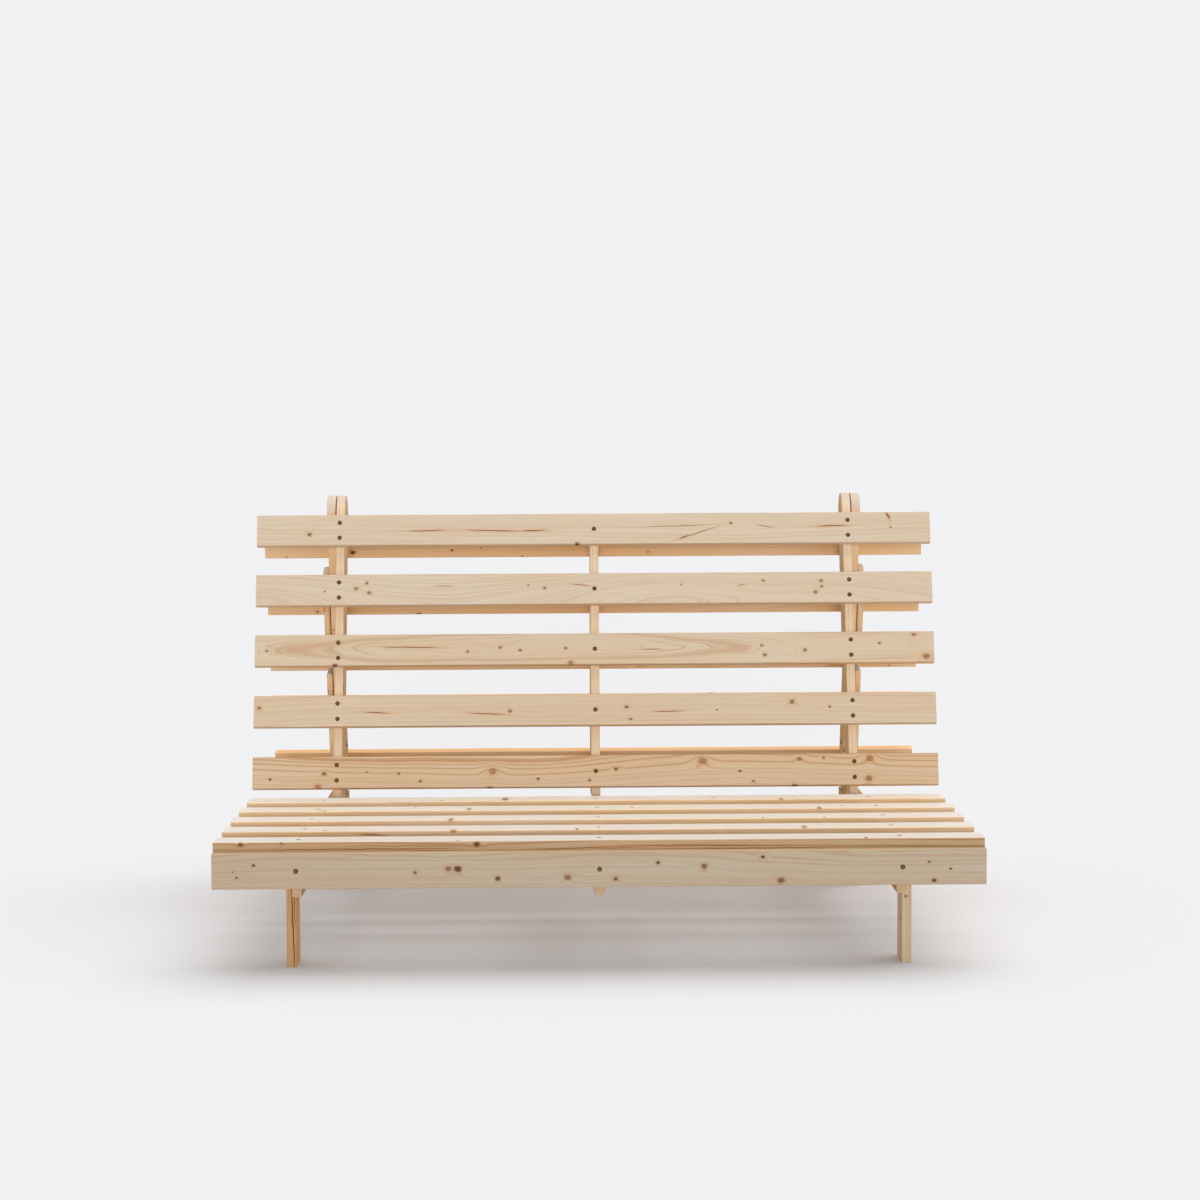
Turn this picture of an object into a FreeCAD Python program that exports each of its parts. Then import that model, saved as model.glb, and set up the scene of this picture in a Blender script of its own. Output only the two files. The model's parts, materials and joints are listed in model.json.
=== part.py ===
"""Folding slatted bench in pine: a fixed seat, a back and a rear frame that unfold into a bed.

Millimetres, +Z up, front towards -Y. Each folding frame is drawn lying flat, with its hinge
on the X axis and its slats on top, and is then turned up about that hinge to its seated place.
"""
import math
import os

import FreeCAD
import Part

Vector = FreeCAD.Vector
ACROSS = Vector(1, 0, 0)
same_place = 1e-6

# Slats
bench_width = 1400.0
slat_count = 5
slat_width = 65.0
slat_thickness = 20.0
slat_pitch = 127.0
slat_edge_radius = 2.0

# Rails
rail_depth = 80.0
rail_thickness = 18.0
rail_edge_radius = 1.5
rail_gap = 2.0
rail_setback = 151.5

# Seat and apron
seat_height = 242.0
apron_height = 65.0
apron_thickness = 20.0
apron_drop = 17.0
apron_slat_gap = 1.0
centre_rail_end_margin = 6.0

# Folding frames
back_lean_angle = 15.8
rear_lean_angle = 17.4
seat_hinge_setback = 71.3
back_slat_start = 60.3
back_top_margin = 15.5
rear_slat_start = 48.0
rear_slat_pitch = 130.0
rear_end_margin = 9.5
centre_rail_start_margin = 24.0

# Where the rear frame stands on the seat rails
step_end_length = 44.0
rest_clearance = 0.5
step_side_clearance = 2.0
fold_clearance = 0.5
bevel_clearance = 5.0

# Legs
leg_width = 70.0
leg_thickness = 18.0
leg_edge_radius = 1.5
swing_leg_thickness = 13.0
swing_leg_edge_radius = 4.5
front_leg_top_gap = 2.0
rear_leg_top_gap = 36.0
front_leg_setback = 86.0
rear_leg_gap = 3.0
end_leg_inset = 72.0
leg_meeting_gap = 14.0
foot_clearance = 1.5

# Wood screws
screw_radius = 2.0
screw_head_radius = 4.75
screw_head_height = 2.4
screw_sink = 2.0
slat_screw_length = 38.0
leg_screw_length = 30.0
apron_screw_length = 60.0
screw_pair_spacing = 32.0
leg_screw_spacing = 24.0
screw_hole_clearance = 0.05

# Hinge bolts
bolt_radius = 3.0
bolt_hole_clearance = 0.05
bolt_head_radius = 7.0
bolt_head_height = 2.5
bolt_tip_length = 0.5
nut_width = 10.0
nut_height = 3.0
nut_corners = 6
washer_radius = 9.0
hinge_play = 0.1

# Places that follow from the sizes above
half_depth = rail_depth / 2
slat_run = (slat_count - 1) * slat_pitch + slat_width
rear_slat_run = (slat_count - 1) * rear_slat_pitch + slat_width
seat_rail_top = seat_height - slat_thickness
seat_rail_bottom = seat_rail_top - rail_depth
seat_rail_middle = seat_rail_top - half_depth
apron_top = seat_height - apron_drop
first_seat_slat = apron_thickness + apron_slat_gap
seat_slat_end = first_seat_slat + slat_run
outer_rail_x = bench_width / 2 - rail_setback
inner_rail_x = outer_rail_x - rail_thickness - rail_gap
outer_face_x = outer_rail_x + rail_thickness / 2
fixed_leg_x = outer_face_x + leg_thickness / 2
swing_leg_x = outer_face_x + rail_gap + swing_leg_thickness / 2
back_length = back_slat_start + slat_run + back_top_margin
rear_length = rear_slat_start + rear_slat_run + rear_end_margin
rear_foot = rear_length - half_depth
back_turn = 90.0 - back_lean_angle
rear_turn = rear_lean_angle - 90.0
fold_angle = back_lean_angle + rear_lean_angle
leg_reach = seat_rail_middle + fold_clearance - foot_clearance
end_leg_offset = rear_foot - end_leg_inset
middle_leg_offset = end_leg_offset - 2 * leg_reach - leg_meeting_gap


def turned(y, z, degrees):
    """A point (y, z) turned about the X axis."""
    angle = math.radians(degrees)
    return (y * math.cos(angle) - z * math.sin(angle), y * math.sin(angle) + z * math.cos(angle))


seat_hinge = Vector(0, seat_slat_end + seat_hinge_setback, seat_rail_middle + fold_clearance)
top_hinge = seat_hinge + Vector(0, *turned(back_length, 0, back_turn))
foot_centre = top_hinge + Vector(0, *turned(rear_foot, 0, rear_turn))
step_floor = foot_centre.z - half_depth - rest_clearance
step_front = foot_centre.y - half_depth - step_side_clearance
seat_rail_end = foot_centre.y + step_end_length
rear_edge_y = rear_slat_start + rear_slat_run - slat_edge_radius
rear_edge_z = half_depth + slat_thickness - slat_edge_radius
last_slat_back = top_hinge.y + turned(rear_edge_y, rear_edge_z, rear_turn)[0] + slat_edge_radius
rearmost = max(seat_rail_end, last_slat_back)
to_origin = Vector(0, -rearmost / 2, 0)


def eased(solid, direction, radius):
    """Round the long edges that run along a direction."""
    edges = []
    for edge in solid.Edges:
        along = edge.Vertexes[-1].Point - edge.Vertexes[0].Point
        if along.cross(direction).Length < same_place:
            edges.append(edge)
    return solid.makeFillet(radius, edges)


def cylinder(radius, start, direction, length):
    return Part.makeCylinder(radius, length, start, direction)


def side_board(outline, x_middle, thickness):
    """A board cut to an outline in the YZ plane, centred on an x."""
    face = Part.Face(outline)
    face.translate(Vector(x_middle - thickness / 2, 0, 0))
    return face.extrude(ACROSS * thickness)


def polygon(points):
    corners = [Vector(0, y, z) for y, z in points]
    return Part.makePolygon(corners + corners[:1])


def round_ended(start, end, round_start, round_end, half):
    """A strip along Y from start to end, with a half circle at either end that asks for one."""
    low = start + half if round_start else start
    high = end - half if round_end else end
    edges = [Part.makeLine(Vector(0, low, -half), Vector(0, high, -half))]
    if round_end:
        edges.append(Part.Arc(Vector(0, high, -half), Vector(0, end, 0), Vector(0, high, half)).toShape())
    else:
        edges.append(Part.makeLine(Vector(0, high, -half), Vector(0, high, half)))
    edges.append(Part.makeLine(Vector(0, high, half), Vector(0, low, half)))
    if round_start:
        edges.append(Part.Arc(Vector(0, low, half), Vector(0, start, 0), Vector(0, low, -half)).toShape())
    else:
        edges.append(Part.makeLine(Vector(0, low, half), Vector(0, low, -half)))
    return Part.Wire(edges)


def eased_rail(solid, radius):
    """Round a board's edges that lie in its two broad faces."""
    edges = []
    for edge in solid.Edges:
        ends = [vertex.X for vertex in edge.Vertexes]
        if max(ends) - min(ends) < same_place:
            edges.append(edge)
    return solid.makeFillet(radius, edges)


def screw(point, direction, length, grown=0.0):
    """A countersunk wood screw, or with grown clearance the hole that it sits in."""
    sunk = point + direction * screw_sink
    head = Part.makeCone(screw_head_radius + grown, screw_radius + grown, screw_head_height, sunk, direction)
    shank = cylinder(screw_radius + grown, sunk, direction, length + grown)
    solid = head.fuse(shank)
    if grown:
        solid = solid.fuse(cylinder(screw_head_radius + grown, point, direction, screw_sink))
    return solid.removeSplitter()


def cut_all(solid, cutters):
    return solid.cut(Part.makeCompound(cutters)) if cutters else solid


class Frame:
    """A slatted frame lying flat: slats on three rails, with a screw at every crossing."""

    def __init__(self, side_x, first_slat, pitch, rail_top, pair_spacing):
        self.centres = [first_slat + slat_width / 2 + i * pitch for i in range(slat_count)]
        self.rail_top = rail_top
        self.points = []
        for y in self.centres:
            offsets = (-pair_spacing / 2, pair_spacing / 2) if pair_spacing else (0.0,)
            for offset in offsets:
                self.points += [(-side_x, y + offset), (side_x, y + offset)]
            self.points.append((0.0, y))

    def screw_shape(self, x, y, grown=0.0):
        top = Vector(x, y, self.rail_top + slat_thickness)
        return screw(top, Vector(0, 0, -1), slat_screw_length, grown)

    def screws(self):
        return Part.makeCompound([self.screw_shape(x, y) for x, y in self.points])

    def holes_near(self, x_low, x_high, y_low, y_high):
        near = [(x, y) for x, y in self.points if x_low < x < x_high and y_low < y < y_high]
        return [self.screw_shape(x, y, screw_hole_clearance) for x, y in near]

    def slats(self):
        for y in self.centres:
            low = y - slat_width / 2
            corner = Vector(-bench_width / 2, low, self.rail_top)
            board = Part.makeBox(bench_width, slat_width, slat_thickness, corner)
            board = eased(board, ACROSS, slat_edge_radius)
            yield cut_all(board, self.holes_near(-bench_width, bench_width, low, low + slat_width))

    def drilled(self, rail, x_middle):
        half = rail_thickness / 2
        return cut_all(rail, self.holes_near(x_middle - half, x_middle + half, -math.inf, math.inf))


def hinge_hole(y, z, x_side):
    """The bore for a hinge bolt, long enough for every board on one side of the bench."""
    start = Vector(x_side * (inner_rail_x - rail_thickness), y, z)
    length = swing_leg_x + swing_leg_thickness - inner_rail_x + rail_thickness
    return cylinder(bolt_radius + bolt_hole_clearance, start, ACROSS * x_side, length)


def hinge_set(y, z, x_side, inside_face, outside_face, washer_face, inside_play, outside_play):
    """A domed bolt, its nut and the washer between two boards that turn on each other."""
    outward = ACROSS * x_side
    head_at = outside_face + outside_play
    nut_at = inside_face - inside_play
    tip = nut_at - nut_height - bolt_tip_length
    shank = cylinder(bolt_radius, Vector(x_side * tip, y, z), outward, head_at - tip)
    dome_radius = (bolt_head_radius ** 2 + bolt_head_height ** 2) / (2 * bolt_head_height)
    ball = Part.makeSphere(dome_radius, Vector(x_side * (head_at + bolt_head_height - dome_radius), y, z))
    outside = cylinder(dome_radius, Vector(x_side * head_at, y, z), outward, dome_radius)
    bolt = shank.fuse(ball.common(outside)).removeSplitter()
    corner_radius = nut_width / math.sqrt(3)
    ring = []
    for corner in range(nut_corners + 1):
        across, up = turned(corner_radius, 0, corner * 360 / nut_corners)
        ring.append(Vector(x_side * nut_at, y + across, z + up))
    nut = Part.Face(Part.makePolygon(ring)).extrude(outward * -nut_height)
    bore_radius = bolt_radius + bolt_hole_clearance
    nut = nut.cut(cylinder(bore_radius, Vector(x_side * nut_at, y, z), outward * -1, nut_height))
    washer_at = Vector(x_side * washer_face, y, z)
    washer = cylinder(washer_radius, washer_at, outward, rail_gap - hinge_play)
    washer = washer.cut(cylinder(bore_radius, washer_at, outward, rail_gap))
    return bolt, nut, washer


def hinge_pairs(places, **faces):
    """Bolts, nuts and washers at the same places on both sides, as three groups."""
    sets = [hinge_set(y, z, side, **faces) for y, z in places for side in (-1, 1)]
    return [Part.makeCompound(list(group)) for group in zip(*sets)]


nodes = {}
sides = {"left": -1, "right": 1}

# Seat: slats on two long outer rails and a short centre rail
seat = Frame(outer_rail_x, first_seat_slat, slat_pitch, seat_rail_top, 0.0)
for number, board in enumerate(seat.slats(), 1):
    nodes[f"seat_slat_{number}"] = board
nodes["seat_slat_screws"] = seat.screws()

seat_outline = polygon([
    (apron_thickness, seat_rail_bottom),
    (seat_rail_end, seat_rail_bottom),
    (seat_rail_end, step_floor),
    (step_front, step_floor),
    (step_front, seat_rail_top),
    (apron_thickness, seat_rail_top),
])
centre_end = seat_slat_end + centre_rail_end_margin
centre_outline = polygon([
    (apron_thickness, seat_rail_bottom),
    (centre_end, seat_rail_bottom),
    (centre_end, seat_rail_top),
    (apron_thickness, seat_rail_top),
])

# Apron across the front ends of the seat rails
apron_low = apron_top - apron_height
apron_middle = (apron_top + apron_low) / 2
apron = Part.makeBox(bench_width, apron_thickness, apron_height, Vector(-bench_width / 2, 0, apron_low))
apron = eased(apron, ACROSS, slat_edge_radius)
apron_points = [Vector(x, 0, apron_middle) for x in (-outer_rail_x, 0, outer_rail_x)]
backward = Vector(0, 1, 0)
apron_holes = [screw(point, backward, apron_screw_length, screw_hole_clearance) for point in apron_points]
nodes["front_apron"] = cut_all(apron, apron_holes)
apron_screws = [screw(point, backward, apron_screw_length) for point in apron_points]
nodes["apron_screws"] = Part.makeCompound(apron_screws)

# Four fixed legs screwed to the outer faces of the seat rails
leg_fronts = {"front_leg": front_leg_setback, "rear_leg": step_front - rear_leg_gap - leg_width}
leg_tops = {"front_leg": seat_rail_top - front_leg_top_gap, "rear_leg": seat_rail_top - rear_leg_top_gap}
leg_screws = []
leg_holes = []
for leg, front in leg_fronts.items():
    leg_top = leg_tops[leg]
    joint_middle = (seat_rail_bottom + leg_top) / 2
    for side, sign in sides.items():
        behind = front + leg_width
        outline = polygon([(front, 0), (behind, 0), (behind, leg_top), (front, leg_top)])
        board = side_board(outline, sign * fixed_leg_x, leg_thickness)
        board = eased(board, Vector(0, 0, 1), leg_edge_radius)
        holes = []
        for offset in (-leg_screw_spacing / 2, leg_screw_spacing / 2):
            face_x = sign * (outer_face_x + leg_thickness)
            point = Vector(face_x, front + leg_width / 2, joint_middle + offset)
            leg_screws.append(screw(point, ACROSS * -sign, leg_screw_length))
            holes.append(screw(point, ACROSS * -sign, leg_screw_length, screw_hole_clearance))
        nodes[f"{leg}_{side}"] = cut_all(board, holes)
        leg_holes += holes
nodes["leg_screws"] = Part.makeCompound(leg_screws)

for side, sign in sides.items():
    rail = eased_rail(side_board(seat_outline, sign * outer_rail_x, rail_thickness), rail_edge_radius)
    rail = seat.drilled(rail, sign * outer_rail_x)
    bores = [hinge_hole(seat_hinge.y, seat_hinge.z, sign)]
    nodes[f"seat_rail_{side}"] = cut_all(rail, leg_holes + apron_holes + bores)
centre = eased_rail(side_board(centre_outline, 0, rail_thickness), rail_edge_radius)
nodes["seat_rail_centre"] = cut_all(seat.drilled(centre, 0), apron_holes)
seat_bolts = hinge_pairs(
    [(seat_hinge.y, seat_hinge.z)],
    inside_face=inner_rail_x - rail_thickness / 2,
    outside_face=outer_face_x,
    washer_face=inner_rail_x + rail_thickness / 2 + hinge_play,
    inside_play=hinge_play,
    outside_play=0.0,
)
for kind, group in zip(("bolts", "nuts", "washers"), seat_bolts):
    nodes[f"seat_hinge_{kind}"] = group

# Back frame: inner rails hinged on the seat rails
back_nodes = {}
back = Frame(inner_rail_x, back_slat_start, slat_pitch, half_depth, screw_pair_spacing)
for number, board in enumerate(back.slats(), 1):
    back_nodes[f"back_slat_{number}"] = board
back_nodes["back_slat_screws"] = back.screws()
for side, sign in sides.items():
    outline = round_ended(-half_depth, back_length + half_depth, True, True, half_depth)
    rail = eased_rail(side_board(outline, sign * inner_rail_x, rail_thickness), rail_edge_radius)
    bores = [hinge_hole(y, 0, sign) for y in (0, back_length)]
    back_nodes[f"back_rail_{side}"] = cut_all(back.drilled(rail, sign * inner_rail_x), bores)
outline = round_ended(centre_rail_start_margin, back_slat_start + slat_run, False, False, half_depth)
centre = eased_rail(side_board(outline, 0, rail_thickness), rail_edge_radius)
back_nodes["back_rail_centre"] = back.drilled(centre, 0)
top_bolts = hinge_pairs(
    [(back_length, 0)],
    inside_face=inner_rail_x - rail_thickness / 2,
    outside_face=outer_face_x,
    washer_face=inner_rail_x + rail_thickness / 2,
    inside_play=0.0,
    outside_play=hinge_play,
)
for kind, group in zip(("bolts", "nuts", "washers"), top_bolts):
    back_nodes[f"top_hinge_{kind}"] = group

# Rear frame: outer rails hinged at the top of the back rails
rear_nodes = {}
rear = Frame(outer_rail_x, rear_slat_start, rear_slat_pitch, half_depth, screw_pair_spacing)
for number, board in enumerate(rear.slats(), 1):
    rear_nodes[f"rear_slat_{number}"] = board
rear_nodes["rear_slat_screws"] = rear.screws()
leg_pivots = {"middle_leg": middle_leg_offset, "end_leg": end_leg_offset}
for side, sign in sides.items():
    outline = round_ended(-half_depth, rear_length, True, True, half_depth)
    rail = eased_rail(side_board(outline, sign * outer_rail_x, rail_thickness), rail_edge_radius)
    bores = [hinge_hole(y, 0, sign) for y in (0, middle_leg_offset, end_leg_offset)]
    rear_nodes[f"rear_rail_{side}"] = cut_all(rear.drilled(rail, sign * outer_rail_x), bores)

# Its centre rail is bevelled where the folded back's centre rail comes close
slope = math.tan(math.radians(fold_angle))
bevel_rise = half_depth / math.cos(math.radians(fold_angle)) + bevel_clearance
bevel_high = bevel_rise - slope * rear_slat_start
bevel_low = (half_depth + bevel_rise) / slope
outline = polygon([
    (bevel_low, -half_depth),
    (rear_slat_start + rear_slat_run, -half_depth),
    (rear_slat_start + rear_slat_run, half_depth),
    (rear_slat_start, half_depth),
    (rear_slat_start, bevel_high),
])
centre = eased_rail(side_board(outline, 0, rail_thickness), rail_edge_radius)
rear_nodes["rear_rail_centre"] = rear.drilled(centre, 0)

# Swing legs of the rear frame, folded along its rails
leg_half = leg_width / 2
for leg, pivot in leg_pivots.items():
    towards_foot = leg == "middle_leg"
    low, high = (-leg_half, leg_reach) if towards_foot else (-leg_reach, leg_half)
    for side, sign in sides.items():
        outline = round_ended(pivot + low, pivot + high, towards_foot, not towards_foot, leg_half)
        board = side_board(outline, sign * swing_leg_x, swing_leg_thickness)
        board = eased_rail(board, swing_leg_edge_radius)
        rear_nodes[f"{leg}_{side}"] = board.cut(hinge_hole(pivot, 0, sign))
leg_bolts = hinge_pairs(
    [(pivot, 0) for pivot in leg_pivots.values()],
    inside_face=outer_rail_x - rail_thickness / 2,
    outside_face=swing_leg_x + swing_leg_thickness / 2,
    washer_face=outer_face_x,
    inside_play=0.0,
    outside_play=hinge_play,
)
for kind, group in zip(("bolts", "nuts", "washers"), leg_bolts):
    rear_nodes[f"leg_hinge_{kind}"] = group

# Turn the folding frames up to their seated places
for group, turn, hinge in ((back_nodes, back_turn, seat_hinge), (rear_nodes, rear_turn, top_hinge)):
    for name, shape in group.items():
        shape.rotate(Vector(0, 0, 0), ACROSS, turn)
        shape.translate(hinge)
        nodes[name] = shape

os.makedirs("parts", exist_ok=True)
for name, shape in nodes.items():
    shape.translate(to_origin)
    shape.exportStep(f"parts/{name}.step")

print(len(nodes), "nodes")
for label, place in (("seat hinge", seat_hinge), ("top hinge", top_hinge), ("rear foot", foot_centre)):
    print(label, place + to_origin)
for leg, pivot in leg_pivots.items():
    print(leg, "pivot", top_hinge + Vector(0, *turned(pivot, 0, rear_turn)) + to_origin)
print("back turn", back_turn, "rear turn", fold_angle - 180.0, "rearmost", rearmost)
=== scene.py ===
import json
import math

import bpy
import numpy as np
from mathutils import Matrix, Vector


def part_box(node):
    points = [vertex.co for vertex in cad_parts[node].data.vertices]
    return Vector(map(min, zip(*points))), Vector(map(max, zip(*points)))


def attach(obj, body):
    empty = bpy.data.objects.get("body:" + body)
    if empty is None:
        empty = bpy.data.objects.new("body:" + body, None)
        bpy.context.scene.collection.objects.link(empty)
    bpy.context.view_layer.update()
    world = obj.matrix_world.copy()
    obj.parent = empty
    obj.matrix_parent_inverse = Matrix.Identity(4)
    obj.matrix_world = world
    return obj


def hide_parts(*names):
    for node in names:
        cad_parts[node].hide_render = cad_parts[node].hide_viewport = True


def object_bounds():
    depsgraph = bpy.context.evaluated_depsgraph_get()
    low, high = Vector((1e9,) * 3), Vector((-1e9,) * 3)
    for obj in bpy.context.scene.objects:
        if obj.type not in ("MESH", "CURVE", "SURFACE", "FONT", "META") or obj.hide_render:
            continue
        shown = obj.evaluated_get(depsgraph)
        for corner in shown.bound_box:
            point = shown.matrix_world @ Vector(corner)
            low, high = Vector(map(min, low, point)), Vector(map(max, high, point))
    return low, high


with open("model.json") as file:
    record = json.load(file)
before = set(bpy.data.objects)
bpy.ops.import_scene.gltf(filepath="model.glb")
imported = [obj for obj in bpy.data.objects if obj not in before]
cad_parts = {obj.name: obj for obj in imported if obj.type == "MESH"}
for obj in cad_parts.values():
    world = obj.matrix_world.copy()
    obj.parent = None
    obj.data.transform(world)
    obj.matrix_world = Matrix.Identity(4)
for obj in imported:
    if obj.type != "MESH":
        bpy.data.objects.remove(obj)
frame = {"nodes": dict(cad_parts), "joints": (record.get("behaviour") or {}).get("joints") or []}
cad_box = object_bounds()

# Seat rails: two long planed pine boards on edge and a short one in the middle, which carry
# the seat slats. The wood is left bare, and the slats are screwed down into it.
cad = frame["nodes"]
pale_wood = (0.645, 0.535, 0.400, 1.0)
warm_wood = (0.610, 0.385, 0.190, 1.0)
late_wood = (0.430, 0.190, 0.055, 1.0)
end_wood = (0.570, 0.495, 0.420, 1.0)
halo_wood = (0.560, 0.310, 0.125, 1.0)
knot_wood = (0.345, 0.140, 0.046, 1.0)
dead_knot = (0.085, 0.038, 0.021, 1.0)
resin_brown = (0.200, 0.078, 0.026, 1.0)


def new_node(tree, kind, inputs=None, **settings):
    """A node with its settings, each input being either a value or another node's socket."""
    made = tree.nodes.new(kind)
    for name, value in settings.items():
        setattr(made, name, value)
    for name, value in (inputs or {}).items():
        if isinstance(value, bpy.types.NodeSocket):
            tree.links.new(value, made.inputs[name])
        else:
            made.inputs[name].default_value = value
    return made


def calc(tree, operation, *values):
    """One step of arithmetic on values or sockets."""
    return new_node(tree, "ShaderNodeMath", dict(enumerate(values)), operation=operation).outputs[0]


def vector_calc(tree, operation, *values):
    """One step of arithmetic on vectors or sockets."""
    return new_node(tree, "ShaderNodeVectorMath", dict(enumerate(values)), operation=operation).outputs[0]


def ramp(tree, value, low, high):
    """A smooth step from 0 to 1 of a value between two limits."""
    inputs = {0: value, 1: low, 2: high}
    return new_node(tree, "ShaderNodeMapRange", inputs, interpolation_type="SMOOTHSTEP").outputs[0]


def blend_colour(tree, share, first, second):
    """A mix of two colours."""
    inputs = {0: share, 6: first, 7: second}
    return new_node(tree, "ShaderNodeMix", inputs, data_type="RGBA").outputs[2]


def drawn_noise(tree, place, shift, along, across, detail=2.0):
    """Noise drawn out along the grain, with one scale along it and another across it."""
    scaled = vector_calc(tree, "MULTIPLY_ADD", place, (along, across, across), shift)
    return new_node(tree, "ShaderNodeTexNoise", {"Vector": scaled, "Scale": 1.0, "Detail": detail})


def new_group(name, inputs, outputs):
    """An empty node group with named sockets, and the sockets of its two end nodes."""
    tree = bpy.data.node_groups.new(name, "ShaderNodeTree")
    for label, kind in inputs.items():
        tree.interface.new_socket(label, in_out="INPUT", socket_type="NodeSocket" + kind)
    for label, kind in outputs.items():
        tree.interface.new_socket(label, in_out="OUTPUT", socket_type="NodeSocket" + kind)
    return tree, tree.nodes.new("NodeGroupInput").outputs, tree.nodes.new("NodeGroupOutput").inputs


def make_knot_group():
    """A branch cut across. Distance from its middle, in knot radii and wavering, gives a core,
    a halo, and a push that bends the year rings round it. Values already gathered pass through."""
    branch_lean = 0.25
    stretch = 0.8
    waver_scale = 190.0
    year_pitch = 5200.0
    bend_along, bend_across, bend = 0.3, 0.5, 1.3
    gathered = {"Push": "Float", "Knot": "Float", "Dark": "Float", "Halo": "Float"}
    inputs = {"Place": "Vector", "Along": "Float", "Across": "Float", "Radius": "Float", "Dead": "Float", **gathered}
    tree, given, out = new_group("knot", inputs, gathered)
    split = new_node(tree, "ShaderNodeSeparateXYZ", {0: given["Place"]}).outputs
    leaning = calc(tree, "MULTIPLY_ADD", split[2], branch_lean, split[1])
    along = calc(tree, "DIVIDE", calc(tree, "SUBTRACT", split[0], given["Along"]), given["Radius"])
    across = calc(tree, "DIVIDE", calc(tree, "SUBTRACT", leaning, given["Across"]), given["Radius"])
    flat = calc(tree, "MULTIPLY", along, stretch)
    waver = new_node(tree, "ShaderNodeTexNoise",
                     {"Vector": given["Place"], "Scale": waver_scale, "Detail": 2.0}).outputs[0]
    square = calc(tree, "MULTIPLY_ADD", flat, flat, calc(tree, "MULTIPLY", across, across))
    feather = drawn_noise(tree, given["Place"], (5.0, 0.0, 0.0), 60.0, 800.0).outputs[0]
    uneven = calc(tree, "MULTIPLY_ADD", feather, 0.5, calc(tree, "MULTIPLY_ADD", waver, 0.9, 0.3))
    distance = calc(tree, "MULTIPLY", calc(tree, "SQRT", square), uneven)
    year = calc(tree, "SINE", calc(tree, "MULTIPLY", distance, calc(tree, "MULTIPLY", given["Radius"], year_pitch)))
    core = calc(tree, "MULTIPLY", ramp(tree, distance, 1.15, 0.8), calc(tree, "MULTIPLY_ADD", year, 0.2, 0.75))
    bark = calc(tree, "MULTIPLY", ramp(tree, distance, 0.65, 0.95), ramp(tree, distance, 1.25, 0.95))
    heart = ramp(tree, distance, 1.05, 0.45)
    dead = calc(tree, "MULTIPLY", calc(tree, "MULTIPLY_ADD", bark, 0.45, heart), given["Dead"])
    long_way = calc(tree, "MULTIPLY", along, bend_along)
    wide_way = calc(tree, "MULTIPLY", across, bend_across)
    spread = calc(tree, "MULTIPLY_ADD", long_way, long_way, calc(tree, "MULTIPLY", wide_way, wide_way))
    swell = calc(tree, "EXPONENT", calc(tree, "MULTIPLY", spread, -1.0))
    push = calc(tree, "MULTIPLY", calc(tree, "MULTIPLY", swell, given["Radius"]), bend)
    tree.links.new(calc(tree, "ADD", given["Push"], push), out["Push"])
    tree.links.new(calc(tree, "MAXIMUM", given["Knot"], core), out["Knot"])
    tree.links.new(calc(tree, "MAXIMUM", given["Dark"], dead), out["Dark"])
    tree.links.new(calc(tree, "MAXIMUM", given["Halo"], ramp(tree, distance, 2.6, 0.7)), out["Halo"])
    return tree


def make_pocket_group():
    """A resin pocket: a long thin lens that follows the grain, ragged at its ends, with a wider
    warm stain that runs out past it."""
    waver_reach = 0.0035
    stain_along, stain_across = 0.3, 0.06
    gathered = {"Halo": "Float", "Streak": "Float"}
    inputs = {"Place": "Vector", "Along": "Float", "Across": "Float", "Length": "Float", "Width": "Float",
              "Slope": "Float", **gathered}
    tree, given, out = new_group("resin pocket", inputs, gathered)
    split = new_node(tree, "ShaderNodeSeparateXYZ", {0: given["Place"]}).outputs
    from_middle = calc(tree, "SUBTRACT", split[0], given["Along"])
    along = calc(tree, "DIVIDE", from_middle, calc(tree, "MULTIPLY", given["Length"], 0.5))
    line = calc(tree, "MULTIPLY_ADD", from_middle, given["Slope"], given["Across"])
    waver = drawn_noise(tree, given["Place"], (0.0, 3.0, 1.0), 28.0, 60.0).outputs[0]
    wavy = calc(tree, "MULTIPLY_ADD", calc(tree, "SUBTRACT", waver, 0.5), waver_reach, line)
    across = calc(tree, "DIVIDE", calc(tree, "SUBTRACT", split[1], wavy), calc(tree, "MULTIPLY", given["Width"], 0.5))
    long_part = calc(tree, "MULTIPLY", along, along)
    wide_part = calc(tree, "MULTIPLY", across, across)
    streak = ramp(tree, calc(tree, "ADD", long_part, wide_part), 1.1, 0.3)
    stain = calc(tree, "MULTIPLY_ADD", long_part, stain_along, calc(tree, "MULTIPLY", wide_part, stain_across))
    tree.links.new(calc(tree, "MAXIMUM", given["Streak"], streak), out["Streak"])
    tree.links.new(calc(tree, "MAXIMUM", given["Halo"], ramp(tree, stain, 1.1, 0.0)), out["Halo"])
    return tree


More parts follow.
